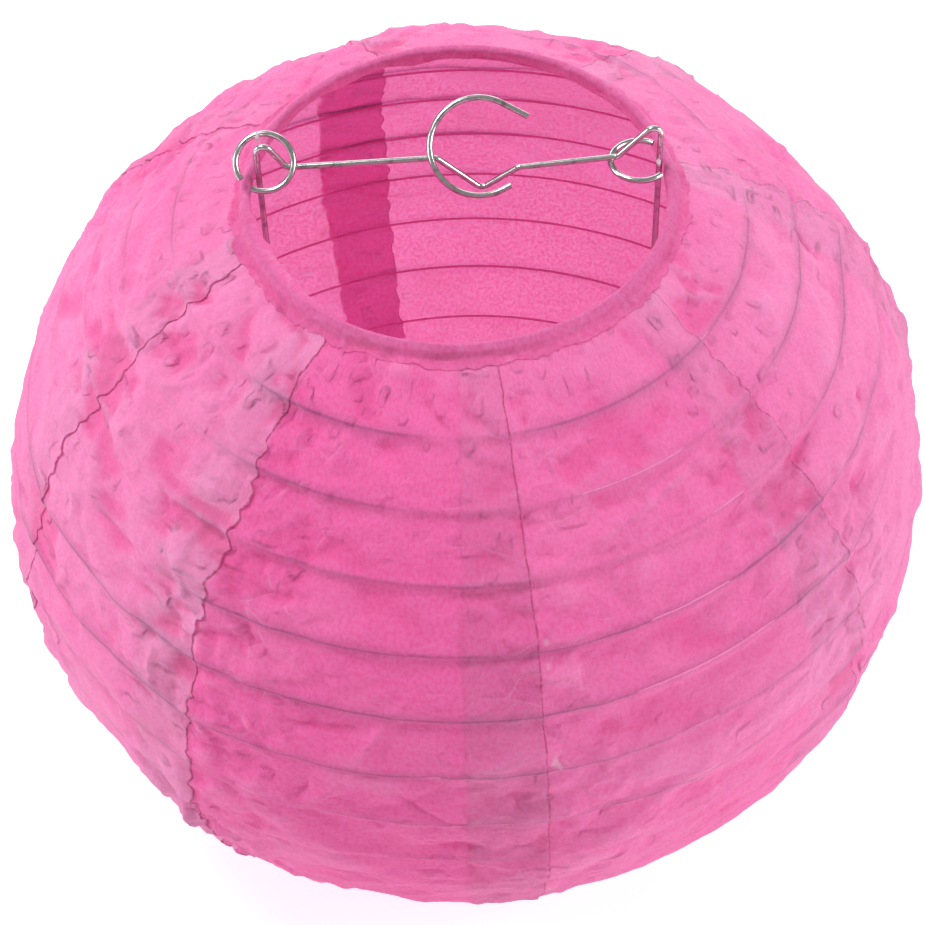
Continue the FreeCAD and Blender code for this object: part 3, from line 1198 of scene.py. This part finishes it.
@dataclass
class Studio:
    """A white floor, soft lights and the camera."""

    curve: ShadeCurve
    elevation: float = 50.5
    distance: float = 0.798
    roll: float = -1.9
    lens: float = 91.8
    shift: tuple[float, float] = (-0.0052, -0.0063)
    surround: float = 0.27
    floor_grey: float = 0.80
    floor_glow: float = 0.60
    softboxes: tuple[Softbox, ...] = (
        Softbox("overhead_softbox", (-0.45, 0.10, 1.3), 0.4, 8.6),
        Softbox("left_softbox", (-1.2, 0.0, 0.6), 0.6, 5.0),
        Softbox("right_softbox", (1.2, -0.25, 0.75), 0.7, 10.0),
        Softbox("back_softbox", (0.0, 1.3, 0.35), 1.2, 12.5),
    )

    def build(self) -> None:
        """Make the floor, the lights, the world and the camera."""
        self.floor()
        for softbox in self.softboxes:
            self.light(softbox)
        world = bpy.data.worlds.new("studio")
        bpy.context.scene.world = world
        world.use_nodes = True
        world.node_tree.nodes["Background"].inputs["Color"].default_value = (1.0, 0.99, 0.985, 1.0)
        world.node_tree.nodes["Background"].inputs["Strength"].default_value = self.surround
        bpy.context.scene.view_settings.view_transform = "Standard"
        self.camera()

    def floor(self) -> None:
        """Lay the floor: a lit white table."""
        clear_selection()
        bpy.ops.mesh.primitive_plane_add(size=9.0, location=(0.0, 0.0, -0.0002))
        floor = bpy.context.object
        floor.name = "studio_floor"
        material = bpy.data.materials.new("studio_floor")
        tools = NodeTools(material)
        body = tools.tree.nodes["Principled BSDF"]
        body.inputs["Base Color"].default_value = (self.floor_grey, self.floor_grey, self.floor_grey, 1.0)
        body.inputs["Roughness"].default_value = 0.9
        body.inputs["Emission Color"].default_value = (1.0, 1.0, 1.0, 1.0)
        body.inputs["Emission Strength"].default_value = self.floor_glow
        floor.data.materials.append(material)

    def light(self, softbox: Softbox) -> None:
        """Add a square soft light that faces the lantern."""
        clear_selection()
        bpy.ops.object.light_add(type="AREA", location=softbox.place)
        light = bpy.context.object
        light.name = softbox.name
        light.data.size = softbox.size
        light.data.energy = softbox.power
        aim = Vector((0.0, 0.0, self.curve.equator)) - Vector(softbox.place)
        light.rotation_euler = aim.to_track_quat("-Z", "Y").to_euler()

    def camera(self) -> None:
        """Place the camera above and in front of the lantern, and tilt it by its roll."""
        tilt = math.radians(self.elevation)
        target = Vector((0.0, 0.0, self.curve.equator))
        place = target + Vector((0.0, -math.cos(tilt), math.sin(tilt))) * self.distance
        clear_selection()
        bpy.ops.object.camera_add(location=place)
        camera = bpy.context.object
        camera.name = "studio_camera"
        facing = (target - place).to_track_quat("-Z", "Y").to_matrix()
        right, up = facing.col[0].copy(), facing.col[1].copy()
        turn = math.radians(self.roll)
        facing.col[0] = right * math.cos(turn) + up * math.sin(turn)
        facing.col[1] = up * math.cos(turn) - right * math.sin(turn)
        camera.rotation_euler = facing.to_euler()
        camera.data.lens = self.lens
        camera.data.sensor_width = 36.0
        camera.data.shift_x, camera.data.shift_y = self.shift
        camera.data.clip_start = 0.05
        bpy.context.scene.camera = camera


CROSSBAR_ABOVE_RING = 5.5 * MM
SEAMS = (
    Seam(325.0, ridge=3.4, stray=2.3, curl=1.5, creased=1.5, glue=0.2, light_and_tone=0.46),
    Seam(8.0, ridge=1.3, stray=0.35, curl=0.15, creased=0.55, glue=0.55, light_and_tone=0.05),
    Seam(53.0, ridge=2.2, stray=1.0, curl=0.6, creased=0.9, glue=0.2, light_and_tone=0.28),
    Seam(100.0, ridge=2.4, stray=1.2, curl=0.7, creased=0.9, glue=0.2, light_and_tone=0.46),
    Seam(145.0, ridge=1.6, stray=1.2, curl=0.6, creased=0.8, glue=0.2, light_and_tone=0.40),
    Seam(200.0, ridge=1.6, stray=1.2, curl=0.6, creased=0.8, glue=0.2, light_and_tone=0.20),
    Seam(240.0, ridge=1.8, stray=1.2, curl=0.6, creased=0.8, glue=0.2, light_and_tone=0.24),
    Seam(292.0, ridge=2.6, stray=1.6, curl=1.0, creased=1.1, glue=0.2, light_and_tone=0.28),
)


def rib_walks(curve: ShadeCurve) -> list[float]:
    """Distances walked to the rib hoops, from their places in the frame."""
    walks = []
    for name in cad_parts:
        if name.startswith("rib_"):
            low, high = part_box(name)
            wire = high.z - low.z
            walks.append(curve.walked_beside((high.x - low.x - wire) / 2.0, (low.z + high.z) / 2.0))
    return sorted(walks)


def main() -> None:
    """Build the shade, dress the wires and set up the studio."""
    logging.basicConfig(level=logging.INFO, format="%(message)s")
    curve = ShadeCurve.from_frame()
    relief = PaperRelief(curve, rib_walks(curve), SEAMS)
    paper = PaperFinish(
        "pink_tissue",
        colour=(0.97, 0.225, 0.55),
        deep=(0.91, 0.14, 0.42),
        pale=(1.0, 0.52, 0.80),
        glow=(1.0, 0.72, 0.92),
        dense=(0.98, 0.46, 0.76),
    )
    hem_paper = PaperFinish(
        "pink_hem",
        colour=(0.96, 0.23, 0.54),
        deep=(0.88, 0.15, 0.42),
        pale=(1.0, 0.50, 0.78),
        glow=(0.99, 0.68, 0.90),
        dense=(0.97, 0.46, 0.75),
    )
    shade = PaperShade(curve, relief, SEAMS, paper, hem_paper)
    for piece in shade.build():
        LOG.info("built %s with %d faces", piece.name, len(piece.data.polygons))
    wires = WireWork(
        bright=WireFinish("bright_wire", (0.74, 0.73, 0.72), (0.17, 0.16, 0.16), 0.2),
        dull=WireFinish("ring_wire", (0.50, 0.49, 0.48), (0.30, 0.27, 0.25), 0.45),
        thin=WireFinish("rib_wire", (0.84, 0.22, 0.48), (0.66, 0.16, 0.38), 0.7, metallic=0.0),
    )
    wires.dress()
    Studio(curve).build()


if __name__ == "__main__":
    main()
